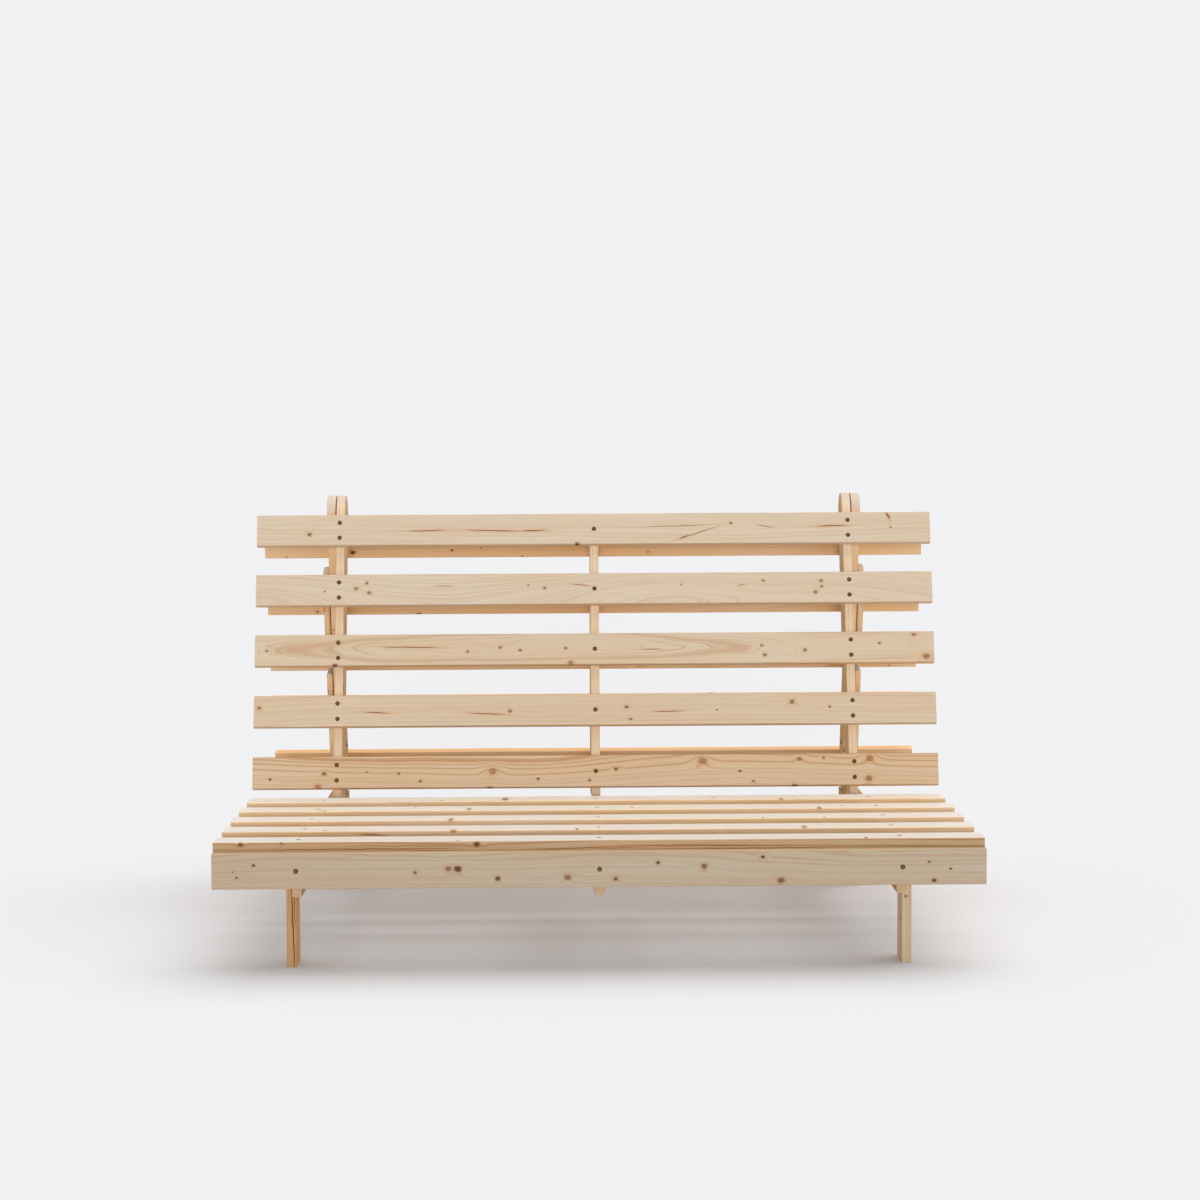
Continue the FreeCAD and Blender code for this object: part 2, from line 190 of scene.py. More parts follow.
def make_pine_group():
    """Pine by its year rings: distance from a wandering pith line, plus ripple and the push of
    knots, divided by the ring width. Each year darkens slowly, then ends sharply."""
    wander_reach = 0.05
    ripple_reach = 0.004
    uneven_years = 2.5
    blotch_share = 0.8
    halo_share = 0.45
    knot_share = 0.9
    inputs = {"Place": "Vector", "Shift": "Vector", "Pith": "Vector", "Ring width": "Float", "Grain": "Float",
              "Warmth": "Float", "Tone and painted light": "Float", "End": "Float", "Push": "Float", "Knot": "Float", "Dark": "Float",
              "Halo": "Float", "Streak": "Float"}
    tree, given, out = new_group("pine", inputs, {"Color": "Color", "Roughness": "Float", "Height": "Float"})
    place = given["Place"]
    shift = given["Shift"]
    wander = drawn_noise(tree, place, shift, 1.2, 0.0, 1.0).outputs[1]
    wander = vector_calc(tree, "MULTIPLY_ADD", wander, (0.0, wander_reach, wander_reach),
                         (0.0, -wander_reach / 2, -wander_reach / 2))
    radial = vector_calc(tree, "ADD", vector_calc(tree, "SUBTRACT", place, given["Pith"]), wander)
    radial = vector_calc(tree, "MULTIPLY", radial, (0.0, 1.0, 1.0))
    radius = new_node(tree, "ShaderNodeVectorMath", {0: radial}, operation="LENGTH").outputs["Value"]
    ripple = drawn_noise(tree, place, shift, 6.0, 30.0).outputs[0]
    radius = calc(tree, "ADD", calc(tree, "MULTIPLY_ADD", ripple, ripple_reach, radius), given["Push"])
    years = calc(tree, "DIVIDE", radius, given["Ring width"])
    uneven = new_node(tree, "ShaderNodeTexNoise", {"W": calc(tree, "MULTIPLY", years, 0.3), "Detail": 1.0},
                      noise_dimensions="1D").outputs[0]
    years = calc(tree, "MULTIPLY_ADD", uneven, uneven_years, years)
    season = calc(tree, "FRACT", years)
    late = calc(tree, "MULTIPLY", ramp(tree, season, 0.6, 0.95), ramp(tree, season, 1.0, 0.96))
    lean_year = new_node(tree, "ShaderNodeTexWhiteNoise", {"W": calc(tree, "FLOOR", years)},
                         noise_dimensions="1D").outputs[0]
    late = calc(tree, "MULTIPLY", late, calc(tree, "MULTIPLY_ADD", lean_year, 0.7, 0.3))
    fibre = drawn_noise(tree, place, shift, 14.0, 900.0, 3.0).outputs[0]
    blotch = drawn_noise(tree, place, shift, 2.2, 22.0).outputs[0]
    warmth = calc(tree, "MULTIPLY_ADD", calc(tree, "SUBTRACT", blotch, 0.5), blotch_share, given["Warmth"])
    colour = blend_colour(tree, warmth, pale_wood, warm_wood)
    colour = blend_colour(tree, calc(tree, "MULTIPLY", late, given["Grain"]), colour, late_wood)
    colour = blend_colour(tree, calc(tree, "MULTIPLY", given["Halo"], halo_share), colour, halo_wood)
    colour = blend_colour(tree, calc(tree, "MULTIPLY", given["Knot"], knot_share), colour, knot_wood)
    colour = blend_colour(tree, given["Dark"], colour, dead_knot)
    colour = blend_colour(tree, given["Streak"], colour, resin_brown)
    brush = calc(tree, "MULTIPLY", calc(tree, "MULTIPLY_ADD", fibre, 0.2, 0.9), given["Tone and painted light"])
    colour = new_node(tree, "ShaderNodeVectorMath", {0: colour, "Scale": brush}, operation="SCALE").outputs[0]
    colour = blend_colour(tree, given["End"], colour, end_wood)
    tree.links.new(colour, out["Color"])
    rough = calc(tree, "MULTIPLY_ADD", fibre, 0.14, 0.25)
    tree.links.new(calc(tree, "MULTIPLY_ADD", given["Knot"], -0.08, rough), out["Roughness"])
    relief = calc(tree, "MULTIPLY_ADD", late, 0.5, fibre)
    tree.links.new(calc(tree, "MULTIPLY_ADD", given["Streak"], -1.5, relief), out["Height"])
    return tree


knot_group = make_knot_group()
pocket_group = make_pocket_group()
pine_group = make_pine_group()
chance = np.random.default_rng(11)


def dress(name, material):
    """Puts a material on a piece."""
    for slot in cad[name].material_slots:
        slot.material = material


def pine_board(name, turn, knots=(), pockets=(), edge_knots=(), edge_pockets=(), pith=(0.11, -0.05),
               ring=0.0032, grain=0.4, warmth=0.2, edge_warmth=0.3, painted_edge_shading=1.0, tone_and_painted_light=1.0, polish=0.3,
               bloom=0.0, end_share=0.75):
    """Bare pine for one board. Its own axes run along the grain, across the face and out of it.
    Knots are along, across, radius and how dead; pockets are along, across, length, width and slope;
    those of the edge go up it in place of across. Pith is the place of the tree's middle, ring the
    width of a year and grain the strength of its lines. Warmth and a tone factor colour the wood; on
    some boards that factor also carries painted light or painted shade. The edges get their own added
    warmth, and a factor on the tone that paints them lighter or darker as painted light or shade.
    Polish and bloom are the gloss and the pale sheen of the faces, and end_share is how much of the end
    grain's colour shows."""
    relief_strength = 0.3
    relief_depth = 0.00006
    low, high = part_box(name)
    material = bpy.data.materials.new(name + "_pine")
    material.use_nodes = True
    tree = material.node_tree
    shader = tree.nodes["Principled BSDF"]
    where = tree.nodes.new("ShaderNodeTexCoord").outputs
    inputs = {"Vector": where["Object"], "Location": (low + high) / 2, "Rotation": turn.to_euler()}
    place = new_node(tree, "ShaderNodeMapping", inputs, vector_type="TEXTURE").outputs[0]
    facing = []
    for axis in ((1, 0, 0), (0, 1, 0)):
        inputs = {0: where["Normal"], 1: turn @ Vector(axis)}
        dot = new_node(tree, "ShaderNodeVectorMath", inputs, operation="DOT_PRODUCT").outputs["Value"]
        facing.append(ramp(tree, calc(tree, "ABSOLUTE", dot), 0.15, 0.6))
    end, edge = facing
    marks = {"Push": 0.0, "Knot": 0.0, "Dark": 0.0, "Halo": 0.0, "Streak": 0.0}
    split = new_node(tree, "ShaderNodeSeparateXYZ", {0: place}).outputs
    edge_place = new_node(tree, "ShaderNodeCombineXYZ", {0: split[0], 1: split[2], 2: split[1]}).outputs[0]
    all_knots = [(place, *knot) for knot in knots] + [(edge_place, *knot) for knot in edge_knots]
    for way, along, across, radius, dead in all_knots:
        given = {label: marks[label] for label in ("Push", "Knot", "Dark", "Halo")}
        given.update({"Place": way, "Along": along, "Across": across, "Radius": radius, "Dead": dead})
        marks.update(new_node(tree, "ShaderNodeGroup", given, node_tree=knot_group).outputs)
    all_pockets = [(place, *pocket) for pocket in pockets] + [(edge_place, *pocket) for pocket in edge_pockets]
    for way, along, across, length, width, slope in all_pockets:
        given = {label: marks[label] for label in ("Halo", "Streak")}
        given.update({"Place": way, "Along": along, "Across": across, "Length": length, "Width": width,
                      "Slope": slope})
        marks.update(new_node(tree, "ShaderNodeGroup", given, node_tree=pocket_group).outputs)
    given = {"Place": place, "Shift": chance.uniform(-40.0, 40.0, 3).tolist(), "Pith": (0.0, *pith),
             "Ring width": ring, "Grain": grain, "Warmth": calc(tree, "MULTIPLY_ADD", edge, edge_warmth, warmth),
             # The edge factor paints light or shade onto the board's edges; on some boards the tone is painted light
             # or shade too.
             "Tone and painted light": calc(tree, "MULTIPLY_ADD", edge, tone_and_painted_light * (painted_edge_shading - 1.0), tone_and_painted_light),
             "End": calc(tree, "MULTIPLY", end, end_share), **marks}
    made = new_node(tree, "ShaderNodeGroup", given, node_tree=pine_group).outputs
    bump = new_node(tree, "ShaderNodeBump",
                    {"Height": made["Height"], "Strength": relief_strength, "Distance": relief_depth})
    tree.links.new(made["Color"], shader.inputs["Base Color"])
    tree.links.new(made["Roughness"], shader.inputs["Roughness"])
    tree.links.new(bump.outputs[0], shader.inputs["Normal"])
    face = calc(tree, "SUBTRACT", 1.0, edge)
    tree.links.new(calc(tree, "MULTIPLY", face, polish), shader.inputs["Specular IOR Level"])
    clear = calc(tree, "MULTIPLY_ADD", marks["Knot"], -bloom, bloom)
    tree.links.new(calc(tree, "MULTIPLY", face, clear), shader.inputs["Sheen Weight"])
    dress(name, material)


def few_knots(count, length, width):
    """Small knots scattered on a board by chance, mostly pin knots: the radius is the smallest one plus
    a spread times the cube of a draw."""
    smallest = 0.0018
    spread = 0.004
    along = chance.uniform(-length / 2, length / 2, count)
    across = chance.uniform(-width / 2, width / 2, count)
    radius = smallest + spread * chance.random(count) ** 3
    dead = chance.uniform(0.1, 0.7, count)
    return list(zip(along.tolist(), across.tolist(), radius.tolist(), dead.tolist()))


rail_sides = ("left", "right", "centre")
rail_pith = (0.06, 0.04)
rail_knot_spread = 0.016
along_y = Matrix.Rotation(math.pi / 2, 3, "Z")
# The small share of end grain colour paints shade onto the rails' end faces.
for side in rail_sides:
    pine_board("seat_rail_" + side, along_y, few_knots(4, 0.8, rail_knot_spread), pith=rail_pith, warmth=0.8,
               tone_and_painted_light=0.9, polish=0.0, end_share=0.2)

# Seat slats: five flat boards with eased edges, laid across the rails with gaps between them
# and held by one screw at each crossing. Bare pine, warmer on its edges, with a pale sheen on top.
# The slats nearer the back are painted lighter, painted light for the light that the back frame
# keeps off them, and each slat's edges are painted lighter or darker for the light that falls on them.
flat_turn = Matrix.Identity(3)
slat_length = 1.4
slat_numbers = range(1, 6)
pith_step, pith_start = 0.05, -0.13
seat_knots = {
    1: [],
    2: [(-0.509, -0.021, 0.0034, 0.7)],
    3: [],
    4: [(-0.539, -0.014, 0.0034, 0.8), (0.069, -0.004, 0.0034, 0.7)],
    5: [(-0.312, -0.015, 0.0026, 0.8), (0.235, 0.004, 0.0039, 0.2)],
}
seat_edge_knots = {
    1: [(-0.650, -0.001, 0.0041, 0.5), (-0.222, -0.004, 0.0046, 0.8), (0.485, 0.004, 0.0026, 0.8)],
    2: [(-0.270, 0.002, 0.0044, 0.2), (-0.040, 0.004, 0.0026, 0.8), (0.384, 0.006, 0.0044, 0.6)],
    3: [(-0.281, 0.005, 0.0044, 0.5), (0.316, 0.004, 0.0017, 0.8), (0.433, 0.004, 0.0017, 0.6)],
    4: [(-0.532, 0.004, 0.0017, 0.8), (-0.251, 0.007, 0.0039, 0.6), (0.435, 0.004, 0.0034, 0.8)],
    5: [(-0.184, 0.009, 0.0054, 0.8), (0.370, 0.004, 0.0039, 0.2)],
}
seat_edge_pockets = {
    1: [(-0.430, -0.003, 0.420, 0.0012, 0.003), (-0.330, 0.002, 0.300, 0.0010, -0.004),
        (-0.020, -0.004, 0.260, 0.0010, 0.004), (0.190, -0.001, 0.360, 0.0012, -0.005),
        (0.300, -0.006, 0.300, 0.0010, 0.002), (0.560, -0.004, 0.200, 0.0010, 0.0)],
    2: [(-0.420, 0.003, 0.060, 0.0020, -0.06), (0.340, -0.005, 0.200, 0.0010, 0.0)],
    3: [],
    4: [],
    5: [(-0.480, -0.002, 0.160, 0.0012, 0.01)],
}
seat_grain = {1: 1.0, 2: 0.4, 3: 0.35, 4: 0.35, 5: 0.4}
# Higher values towards the back are painted light, for the light that the back frame keeps off those slats.
seat_tone_and_painted_light = {1: 0.98, 2: 1.0, 3: 1.08, 4: 1.2, 5: 1.25}
# Edge factors per slat: painted light and painted shade on the slat edges.
seat_edge_painted_shading = {1: 0.84, 2: 1.2, 3: 1.15, 4: 1.08, 5: 1.08}
seat_ring = {1: 0.0055, 2: 0.0045, 3: 0.004, 4: 0.004, 5: 0.005}
for number in slat_numbers:
    pine_board(f"seat_slat_{number}", flat_turn, seat_knots[number] + few_knots(2, slat_length, 0.06),
               edge_knots=seat_edge_knots[number], edge_pockets=seat_edge_pockets[number],
               pith=(pith_step * number + pith_start, -0.08), ring=seat_ring[number], grain=seat_grain[number],
               warmth=0.0, edge_warmth=0.65, painted_edge_shading=seat_edge_painted_shading[number], tone_and_painted_light=seat_tone_and_painted_light[number],
               polish=0.8, bloom=0.9)

# Front apron: one pine board on edge across the front ends of the seat rails, most of it below
# the slats, held by three screws through its face.
upright = Matrix.Rotation(math.pi / 2, 3, "X")
apron_knots = [(-0.624, 0.014, 0.0026, 0.8), (-0.655, -0.008, 0.0017, 0.8), (-0.662, 0.002, 0.0013, 0.8),
               (-0.333, -0.001, 0.0026, 0.5), (-0.273, 0.006, 0.0044, 0.3), (-0.256, 0.005, 0.0054, 0.9),
               (-0.184, -0.013, 0.0039, 0.8), (-0.058, -0.012, 0.0049, 0.3), (0.029, -0.015, 0.0034, 0.6),
               (0.106, 0.014, 0.0026, 0.9), (0.189, 0.007, 0.0044, 0.5), (0.295, 0.023, 0.0026, 0.9),
               (0.328, -0.020, 0.0052, 0.5), (0.596, 0.012, 0.0017, 0.9), (0.635, -0.001, 0.0017, 0.9),
               (0.605, -0.022, 0.0034, 0.8)]
# The low tone paints shade onto the apron's front face.
pine_board("front_apron", upright, apron_knots, pith=(0.045, -0.06), ring=0.0036, grain=0.5, warmth=0.2,
           tone_and_painted_light=0.74, polish=0.1)

# Fixed legs: four short upright boards of the same bare pine, one with a resin streak down its
# front. Each is held to the outer face of a seat rail by two screws.
up_grain = Matrix.Rotation(-math.pi / 2, 3, "Y")
leg_edge_knots = {"front_leg_right": [(0.014, -0.007, 0.0020, 0.8)]}
leg_edge_pockets = {"front_leg_left": [(-0.030, -0.0030, 0.210, 0.0030, 0.03),
                                       (0.010, -0.0060, 0.110, 0.0016, 0.02)]}
leg_warmth = {"left": 1.0, "right": 0.25}
# The edge factors paint shade onto the legs' fronts, and the tones above one paint light onto their side faces.
leg_edge_painted_shading = {"left": 0.71, "right": 0.80}
leg_tone_and_painted_light = {"left": 1.30, "right": 1.25}
for row in ("front", "rear"):
    for side in ("left", "right"):
        leg = f"{row}_leg_{side}"
        pine_board(leg, up_grain, few_knots(2, 0.2, 0.05), edge_knots=leg_edge_knots.get(leg, ()),
                   edge_pockets=leg_edge_pockets.get(leg, ()), pith=(0.05, 0.06), grain=0.8,
                   warmth=leg_warmth[side], edge_warmth=0.0, painted_edge_shading=leg_edge_painted_shading[side], tone_and_painted_light=leg_tone_and_painted_light[side],
                   polish=0.0)

# Back frame: three pine rails leaning back, the outer two hinged at the foot to the seat rails, with
# five slats screwed across their front, two screws to each side rail and one to the middle one.
hinge_place = {joint["name"]: Vector(joint["pos_m"]) for joint in frame["joints"]}
back_way = hinge_place["rear_fold"] - hinge_place["back_fold"]
back_angle = math.atan2(back_way.z, back_way.y)
back_turn = Matrix.Rotation(back_angle, 3, "X")
# A tone above one paints light onto these rails, which sit in shade behind the slats.
for side in rail_sides:
    pine_board("back_rail_" + side, back_turn @ along_y, few_knots(4, 0.6, rail_knot_spread), pith=rail_pith,
               grain=0.6, warmth=0.2, edge_warmth=0.4, tone_and_painted_light=1.22, polish=0.0)
back_knots = {
    1: [(-0.664, -0.011, 0.0026, 0.8), (-0.567, -0.027, 0.0054, 0.2), (-0.554, 0.000, 0.0039, 0.5),
        (-0.467, 0.002, 0.0017, 0.7), (-0.402, -0.001, 0.0026, 0.6), (-0.358, -0.017, 0.0026, 0.7),
        (-0.217, -0.034, 0.0054, 0.6), (-0.211, 0.003, 0.0069, 0.15), (-0.118, -0.013, 0.0026, 0.8),
        (-0.013, -0.017, 0.0026, 0.8), (0.041, 0.006, 0.0034, 0.7), (0.218, 0.021, 0.0069, 0.2),
        (0.294, 0.000, 0.0026, 0.8), (0.321, -0.021, 0.0026, 0.4), (0.406, -0.033, 0.0054, 0.8),
        (0.416, 0.024, 0.0039, 0.4), (0.466, 0.026, 0.0026, 0.6), (0.557, -0.017, 0.0059, 0.3),
        (0.560, 0.025, 0.0064, 0.2)],
    2: [(-0.689, 0.010, 0.0034, 0.3), (-0.175, 0.000, 0.0034, 0.3), (0.064, 0.007, 0.0034, 0.5),
        (0.072, -0.018, 0.0026, 0.5), (0.249, 0.000, 0.0017, 0.6), (0.404, 0.016, 0.0044, 0.4),
        (0.481, 0.005, 0.0026, 0.3)],
    3: [(-0.675, 0.002, 0.0026, 0.2), (-0.535, -0.030, 0.0044, 0.7), (-0.262, -0.002, 0.0026, 0.2),
        (-0.195, 0.006, 0.0026, 0.5), (-0.154, 0.000, 0.0026, 0.6), (-0.060, 0.004, 0.0026, 0.6),
        (-0.050, -0.027, 0.0044, 0.2), (0.344, 0.007, 0.0026, 0.4), (0.350, -0.013, 0.0034, 0.4),
        (0.433, -0.003, 0.0034, 0.4), (0.587, 0.010, 0.0026, 0.4), (0.659, 0.028, 0.0034, 0.3),
        (0.683, -0.018, 0.0059, 0.3)],
    4: [(-0.558, -0.001, 0.0017, 0.3), (-0.493, 0.005, 0.0034, 0.3), (-0.471, 0.016, 0.0026, 0.4),
        (-0.466, -0.004, 0.0034, 0.3), (-0.137, 0.010, 0.0017, 0.4), (-0.103, 0.004, 0.0026, 0.5),
        (0.179, 0.009, 0.0017, 0.4), (0.350, 0.017, 0.0026, 0.3), (0.458, -0.008, 0.0034, 0.4),
        (0.470, 0.016, 0.0034, 0.3), (0.471, 0.004, 0.0026, 0.3)],
    5: [(-0.591, -0.007, 0.0034, 0.6), (-0.035, -0.030, 0.0039, 0.8), (0.285, 0.013, 0.0026, 0.6),
        (0.618, 0.002, 0.0017, 0.8)],
}
back_pockets = {
    1: [],
    2: [(-0.448, -0.004, 0.060, 0.0022, -0.05), (-0.220, -0.008, 0.090, 0.0022, -0.03),
        (0.150, -0.005, 0.075, 0.0020, 0.03)],
    3: [(-0.380, 0.005, 0.130, 0.0022, -0.02), (0.116, -0.002, 0.050, 0.0014, -0.02)],
    4: [(-0.312, 0.006, 0.040, 0.0012, 0.0), (-0.027, 0.007, 0.040, 0.0014, -0.1),
        (0.304, 0.005, 0.018, 0.0014, 0.1)],
    5: [(-0.348, -0.002, 0.090, 0.0022, 0.03), (-0.210, -0.003, 0.130, 0.0024, -0.02),
        (-0.125, -0.003, 0.060, 0.0026, 0.03), (0.187, -0.019, 0.022, 0.0030, 0.35),
        (0.210, -0.012, 0.100, 0.0016, 0.32), (0.170, 0.005, 0.150, 0.0012, 0.03),
        (0.357, 0.003, 0.040, 0.0014, -0.2), (0.495, 0.003, 0.070, 0.0026, 0.02),
        (0.613, 0.024, 0.010, 0.0080, -1.4)],
}
back_grain = {1: 0.85, 2: 0.45, 3: 0.5, 4: 0.35, 5: 0.35}
back_ring = {1: 0.0042, 2: 0.0044, 3: 0.0044, 4: 0.0040, 5: 0.0040}
back_pith = {1: (0.05, -0.05), 2: (0.06, -0.09), 3: (0.01, -0.07), 4: (-0.04, -0.09), 5: (-0.09, -0.09)}
back_warmth = {1: 0.48, 2: 0.2, 3: 0.25, 4: 0.08, 5: 0.07}
for number in slat_numbers:
    pine_board(f"back_slat_{number}", back_turn, back_knots[number], back_pockets[number],
               pith=back_pith[number], ring=back_ring[number], grain=back_grain[number],
               warmth=back_warmth[number], tone_and_painted_light=0.96)

# Rear frame: three pine rails and five slats. It is hinged to the top of the back, leans out behind
# it and stands on the seat rails. Its slats are screwed to the outside of its rails.
rear_way = hinge_place["end_leg_left_swing"] - hinge_place["rear_fold"]
rear_angle = math.atan2(rear_way.z, rear_way.y)
rear_turn = Matrix.Rotation(rear_angle, 3, "X")
# A high tone paints light onto these rails, which sit in shade behind the back.
for side in rail_sides:
    pine_board("rear_rail_" + side, rear_turn @ along_y, few_knots(4, 0.6, rail_knot_spread), pith=rail_pith,
               warmth=0.6, tone_and_painted_light=1.3, polish=0.0)
rear_knots = {
    1: [(-0.513, 0.017, 0.0049, 0.9), (-0.302, 0.013, 0.0026, 0.9), (-0.240, 0.008, 0.0017, 0.7)],
    2: [(-0.594, 0.022, 0.0026, 0.7), (-0.376, 0.030, 0.0044, 0.9)],
    3: [],
    4: [],
    5: [(-0.545, -0.024, 0.0044, 0.5)],
}
# A paler, warmer pine than the back slats, with part of that brightness and warmth painted light and painted warm
# bounce for the shade behind the back.
rear_tone_and_painted_light = {1: 1.25, 2: 1.25, 3: 1.25, 4: 1.25, 5: 1.3}
for number in slat_numbers:
    pine_board(f"rear_slat_{number}", rear_turn, rear_knots[number] + few_knots(5, slat_length, 0.065),
               pith=(pith_step * number + pith_start, 0.09), warmth=0.8, edge_warmth=0.0, painted_edge_shading=1.05,
               tone_and_painted_light=rear_tone_and_painted_light[number])

# Swing legs: two pairs of pine boards bolted to the outside of the rear rails, which lie along them
# while the bench is folded and swing down under the bed.
# A high tone paints light onto these legs, which sit in shade beside the rear rails.
for leg in ("middle_leg_left", "middle_leg_right", "end_leg_left", "end_leg_right"):
    pine_board(leg, rear_turn @ along_y, few_knots(2, 0.2, 0.012), pith=rail_pith, warmth=0.6, tone_and_painted_light=1.25,
               polish=0.0)

# Wood screws: countersunk heads with a cross recess in yellow zinc, sunk just below the face of
# the boards that they hold. A painted shade darkens each head round its rim, for the shadow in the hole.
head_profile = [(0.0, 0.0), (0.0004, 0.0), (0.0008, 0.0), (0.0012, 0.0), (0.0016, 0.0), (0.0020, 0.0),
                (0.0024, 0.0), (0.0030, 0.0), (0.0036, -0.0001), (0.0042, -0.0004), (0.0047, -0.0009),
                (0.0020, -0.0024)]
shank_radius = 0.0019
point_length = 0.008
point_short = 0.0005
weld_reach = 0.00001
slat_screw_length = 0.038
apron_screw_length = 0.060
leg_screw_length = 0.030
gold_radius = 0.0022
rim_radius = 0.0034
screw_sides = 24
recess_length = 0.0025
recess_width = 0.0009
recess_depth = 0.0014
top_rows = 9
screw_sink = 0.002
gold = (0.36, 0.190, 0.045, 1.0)
dull_gold = (0.14, 0.070, 0.018, 1.0)
rim_painted_shade = (0.016, 0.008, 0.004, 1.0)


def screw_surface(tops, inward, length):
    """Screws turned from one profile: radius and depth round an axis, with the top sunk in a
    cross, which is deepest in the middle and rises to nothing at its ends."""
    profile = np.array(head_profile + [(shank_radius, point_length - length), (0.0, point_short - length)])
    angle = np.linspace(0, 2 * np.pi, screw_sides, endpoint=False)
    right = profile[:, :1] * np.cos(angle)
    up = profile[:, :1] * np.sin(angle)
    depth = np.repeat(profile[:, 1:], screw_sides, axis=1)
    arm = np.minimum(np.abs(right), np.abs(up))
    reach = np.maximum(np.abs(right), np.abs(up))
    wall = np.clip((recess_width - arm) / recess_width * 2, 0, 1)
    recess = recess_depth * wall * np.clip(1 - (reach / recess_length) ** 2, 0, 1)
    depth[:top_rows] -= recess[:top_rows]
    axis = -np.broadcast_to(np.array(inward), (len(tops), 3))
    across = np.where(np.abs(axis[:, :1]) > 0.5, (0.0, 1.0, 0.0), (1.0, 0.0, 0.0))
    ways = np.stack([across, np.cross(axis, across), axis], axis=1)
    single = np.stack([right, up, depth], axis=-1).reshape(-1, 3)
    points = (np.array(tops)[:, None, :] + single @ ways).reshape(-1, 3)
    row, column = np.meshgrid(np.arange(len(profile) - 1), np.arange(screw_sides), indexing="ij")
    after = (column + 1) % screw_sides
    quads = np.stack([row * screw_sides + column, (row + 1) * screw_sides + column,
                      (row + 1) * screw_sides + after, row * screw_sides + after], -1).reshape(-1, 4)
    starts = np.arange(len(tops))[:, None, None] * len(single)
    rim = np.tile(np.repeat(profile[:, 0], screw_sides), len(tops))
    return points, (quads + starts).reshape(-1, 4), rim


def plated(name, colour, dark, roughness):
    """Plated steel, mottled by one noise and scuffed by a finer one. Gives its colour socket too."""
    mottle_scale = 420.0
    scuff_scale = 2600.0
    material = bpy.data.materials.new(name)
    material.use_nodes = True
    tree = material.node_tree
    shader = tree.nodes["Principled BSDF"]
    where = tree.nodes.new("ShaderNodeTexCoord").outputs["Object"]
    mottle = new_node(tree, "ShaderNodeTexNoise", {"Vector": where, "Scale": mottle_scale, "Detail": 3.0}).outputs[0]
    scuff = new_node(tree, "ShaderNodeTexNoise", {"Vector": where, "Scale": scuff_scale, "Detail": 2.0}).outputs[0]
    shade = blend_colour(tree, ramp(tree, mottle, 0.35, 0.7), colour, dark)
    tree.links.new(shade, shader.inputs["Base Color"])
    tree.links.new(calc(tree, "MULTIPLY_ADD", scuff, 0.25, roughness), shader.inputs["Roughness"])
    bump = new_node(tree, "ShaderNodeBump", {"Height": scuff, "Strength": 0.2, "Distance": 0.0001})
    tree.links.new(bump.outputs[0], shader.inputs["Normal"])
    shader.inputs["Metallic"].default_value = 1.0
    return material, shade


screw_metal, screw_shade = plated("screw_metal", gold, dull_gold, 0.30)
screw_tree = screw_metal.node_tree
rim_reach = new_node(screw_tree, "ShaderNodeAttribute", attribute_name="rim").outputs["Fac"]
# The dark, dull rim of each head is painted shade, standing in for the shadow in the gap of its hole.
rim_painted_shade_share = ramp(screw_tree, rim_reach, gold_radius, rim_radius)
screw_shader = screw_tree.nodes["Principled BSDF"].inputs
screw_tree.links.new(blend_colour(screw_tree, rim_painted_shade_share, screw_shade, rim_painted_shade), screw_shader["Base Color"])
screw_tree.links.new(calc(screw_tree, "SUBTRACT", 1.0, rim_painted_shade_share), screw_shader["Metallic"])
screw_shader["Specular IOR Level"].default_value = 0.0


def screw_set(name, tops, inward, length, body):
    """All the screws of one kind, in place of the plain ones."""
    points, quads, rim = screw_surface(tops, inward, length)
    mesh = bpy.data.meshes.new(name + "_set")
    mesh.from_pydata(points.tolist(), [], quads.tolist())
    mesh.attributes.new("rim", "FLOAT", "POINT").data.foreach_set("value", rim.astype(np.float32))
    mesh.materials.append(screw_metal)
    piece = bpy.data.objects.new(name + "_set", mesh)
    bpy.context.scene.collection.objects.link(piece)
    piece.modifiers.new("weld", "WELD").merge_threshold = weld_reach
    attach(piece, body)
    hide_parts(name)


def middle(name):
    """The middle of a piece's box."""
    low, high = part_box(name)
    return (low + high) / 2


slat_half = 0.010
pair_gap = 0.032


def frame_screws(frame_name, turn, pair):
    """Screws of one slatted frame: every slat where it crosses a rail."""
    outward = turn @ Vector((0, 0, 1))
    along = turn @ Vector((0, 1, 0))
    tops = []
    for number in slat_numbers:
        slat = middle(f"{frame_name}_slat_{number}")
        for side in rail_sides:
            crossing = Vector((middle(f"{frame_name}_rail_{side}").x, slat.y, slat.z))
            face = crossing + outward * (slat_half - screw_sink)
            shifts = (-pair / 2, pair / 2) if pair and side != "centre" else (0.0,)
            tops += [face + along * shift for shift in shifts]
    screw_set(f"{frame_name}_slat_screws", tops, -outward, slat_screw_length, frame_name)


frame_screws("seat", flat_turn, 0.0)
frame_screws("back", back_turn, pair_gap)
frame_screws("rear", rear_turn, pair_gap)

apron_middle = middle("front_apron")
apron_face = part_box("front_apron")[0].y + screw_sink
apron_tops = [(middle("seat_rail_" + side).x, apron_face, apron_middle.z) for side in rail_sides]
screw_set("apron_screws", apron_tops, (0.0, 1.0, 0.0), apron_screw_length, "seat")

leg_gap = 0.024
rail_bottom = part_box("seat_rail_left")[0].z
leg_tops = []
leg_inward = []
for side, sign in (("left", -1.0), ("right", 1.0)):
    for leg in ("front_leg_", "rear_leg_"):
        low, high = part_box(leg + side)
        outer = low.x if sign < 0 else high.x
        for shift in (-leg_gap / 2, leg_gap / 2):
            leg_tops.append((outer - sign * screw_sink, (low.y + high.y) / 2, (rail_bottom + high.z) / 2 + shift))
            leg_inward.append((-sign, 0.0, 0.0))
screw_set("leg_screws", leg_tops, leg_inward, leg_screw_length, "seat")

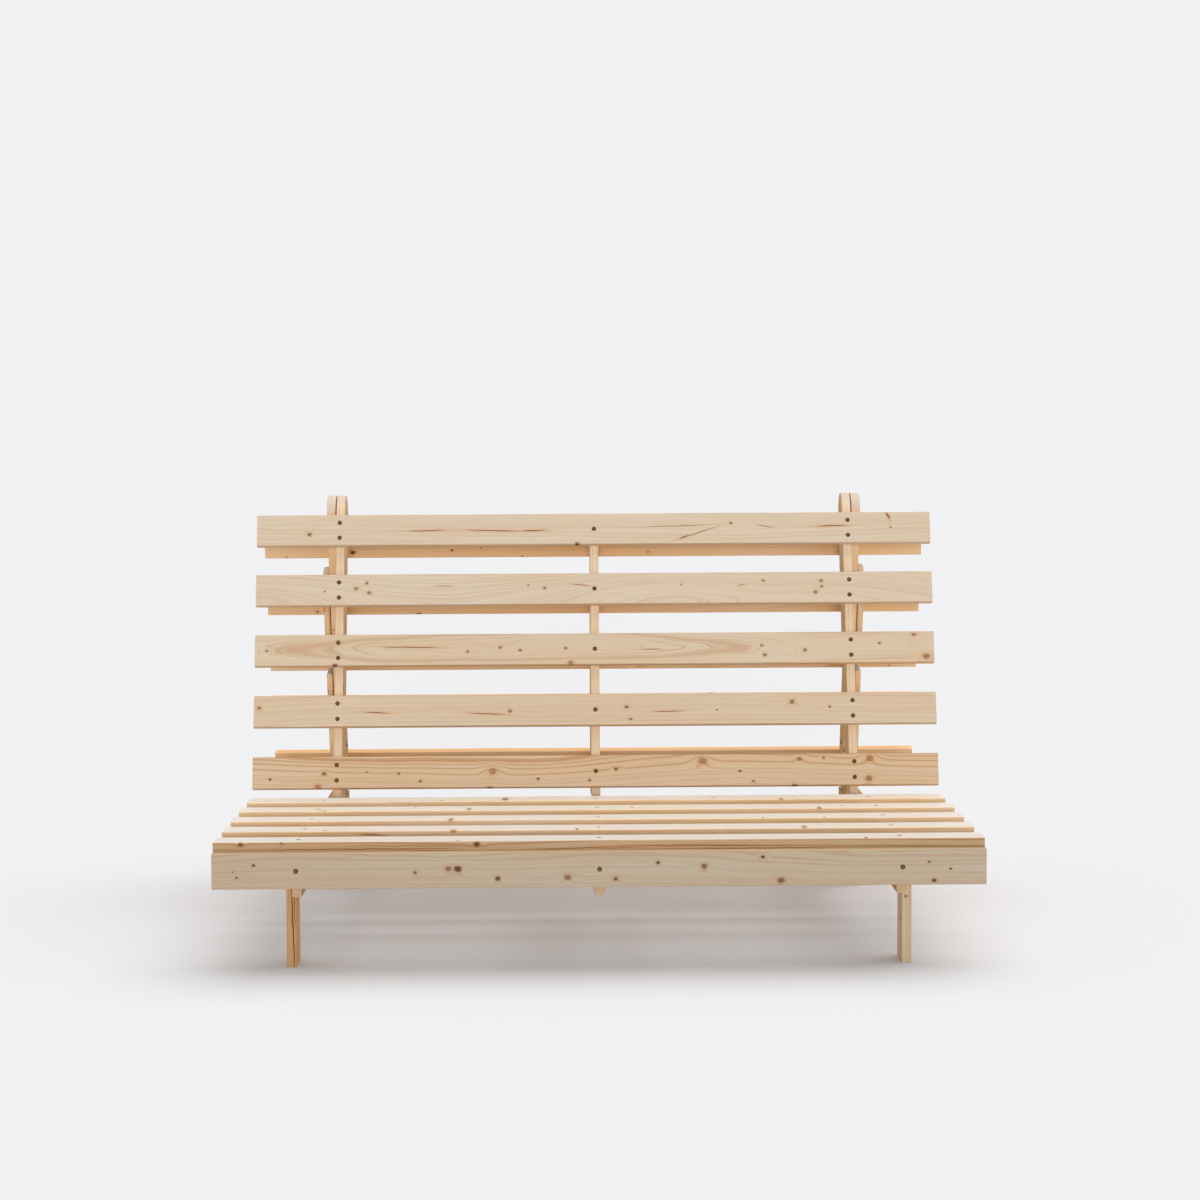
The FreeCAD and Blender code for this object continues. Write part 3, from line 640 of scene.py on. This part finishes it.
# Hinge bolts: domed heads outside, hexagon nuts inside and plain washers between the boards that
# turn on each other, all in zinc-plated steel.
bright_zinc = (0.40, 0.40, 0.41, 1.0)
dull_zinc = (0.25, 0.25, 0.255, 1.0)
zinc = plated("zinc", bright_zinc, dull_zinc, 0.32)[0]
for hinge in ("seat", "top", "leg"):
    for kind in ("bolts", "nuts", "washers"):
        dress(f"{hinge}_hinge_{kind}", zinc)

# Floor: a broad flat sheet of pale paper that the bench stands on, wide enough to have no edge in
# view. It keeps the soft shadow under the seat.
floor_reach = 60.0
paper_white = (0.683, 0.683, 0.695, 1.0)
floor_mesh = bpy.data.meshes.new("floor")
floor_corners = [(x, y, 0.0) for x, y in ((-1, -1), (1, -1), (1, 1), (-1, 1))]
floor_mesh.from_pydata((np.array(floor_corners) * floor_reach).tolist(), [], [(0, 1, 2, 3)])
floor = bpy.data.objects.new("floor", floor_mesh)
bpy.context.scene.collection.objects.link(floor)
paper = bpy.data.materials.new("paper")
paper.use_nodes = True
paper_shader = paper.node_tree.nodes["Principled BSDF"]
paper_shader.inputs["Base Color"].default_value = paper_white
paper_shader.inputs["Roughness"].default_value = 1.0
paper_shader.inputs["Specular IOR Level"].default_value = 0.0
floor_mesh.materials.append(paper)

# Light: a broad lamp above and a little behind, to the right, a narrower one from the camera's side,
# and even light from the white room. The room itself is seen as the white backdrop.
backdrop_white = (0.88, 0.88, 0.896, 1.0)
even_white = (1.0, 1.0, 1.0, 1.0)
even_strength = 0.46


def soft_lamp(name, source, energy, spread):
    """A far lamp in the direction of its source, as wide as an angle in degrees."""
    lamp = bpy.data.lights.new(name, "SUN")
    lamp.energy = energy
    lamp.angle = math.radians(spread)
    holder = bpy.data.objects.new(name, lamp)
    holder.rotation_euler = Vector(source).to_track_quat("Z", "Y").to_euler()
    bpy.context.scene.collection.objects.link(holder)


soft_lamp("lamp_above", source=(0.3, 0.25, 1.6), energy=2.6, spread=75)
soft_lamp("lamp_front", source=(0.0, -1.0, 0.07), energy=1.2, spread=12)
world = bpy.data.worlds.new("room")
bpy.context.scene.world = world
world.use_nodes = True
room_tree = world.node_tree
backdrop = room_tree.nodes["Background"]
backdrop.inputs["Color"].default_value = backdrop_white
even = new_node(room_tree, "ShaderNodeBackground", {"Color": even_white, "Strength": even_strength})
path = room_tree.nodes.new("ShaderNodeLightPath").outputs
seen = calc(room_tree, "MAXIMUM", path["Is Camera Ray"],
            calc(room_tree, "MAXIMUM", path["Is Glossy Ray"], path["Is Transmission Ray"]))
room = new_node(room_tree, "ShaderNodeMixShader", {0: seen, 1: even.outputs[0], 2: backdrop.outputs[0]})
room_tree.links.new(room.outputs[0], room_tree.nodes["World Output"].inputs[0])
bpy.context.scene.view_settings.view_transform = "Standard"

# Camera: a long lens far in front of the bench, a little left of its middle and above the top of its
# back, looking slightly down. Its turns are in radians and its place in metres.
yaw = 0.010948
pitch = -0.067048
roll = -0.005395
picture_width = 1200
focal_pixels = 2657.66
film_width = 36.0
far_clip = 200.0
camera_x, camera_distance, camera_height = -0.04873, 4.75515, 0.99919
forward = Vector((math.sin(yaw) * math.cos(pitch), math.cos(yaw) * math.cos(pitch), math.sin(pitch)))
level = Vector((math.cos(yaw), -math.sin(yaw), 0.0))
upward = level.cross(forward)
right = math.cos(roll) * level + math.sin(roll) * upward
top = math.cos(roll) * upward - math.sin(roll) * level
lens = bpy.data.cameras.new("camera")
lens.sensor_width = film_width
lens.lens = focal_pixels * film_width / picture_width
lens.clip_end = far_clip
camera = bpy.data.objects.new("camera", lens)
camera_place = Vector((camera_x, cad_box[0].y - camera_distance, camera_height))
camera.matrix_world = Matrix.Translation(camera_place) @ Matrix((right, top, -forward)).transposed().to_4x4()
bpy.context.scene.collection.objects.link(camera)
bpy.context.scene.camera = camera
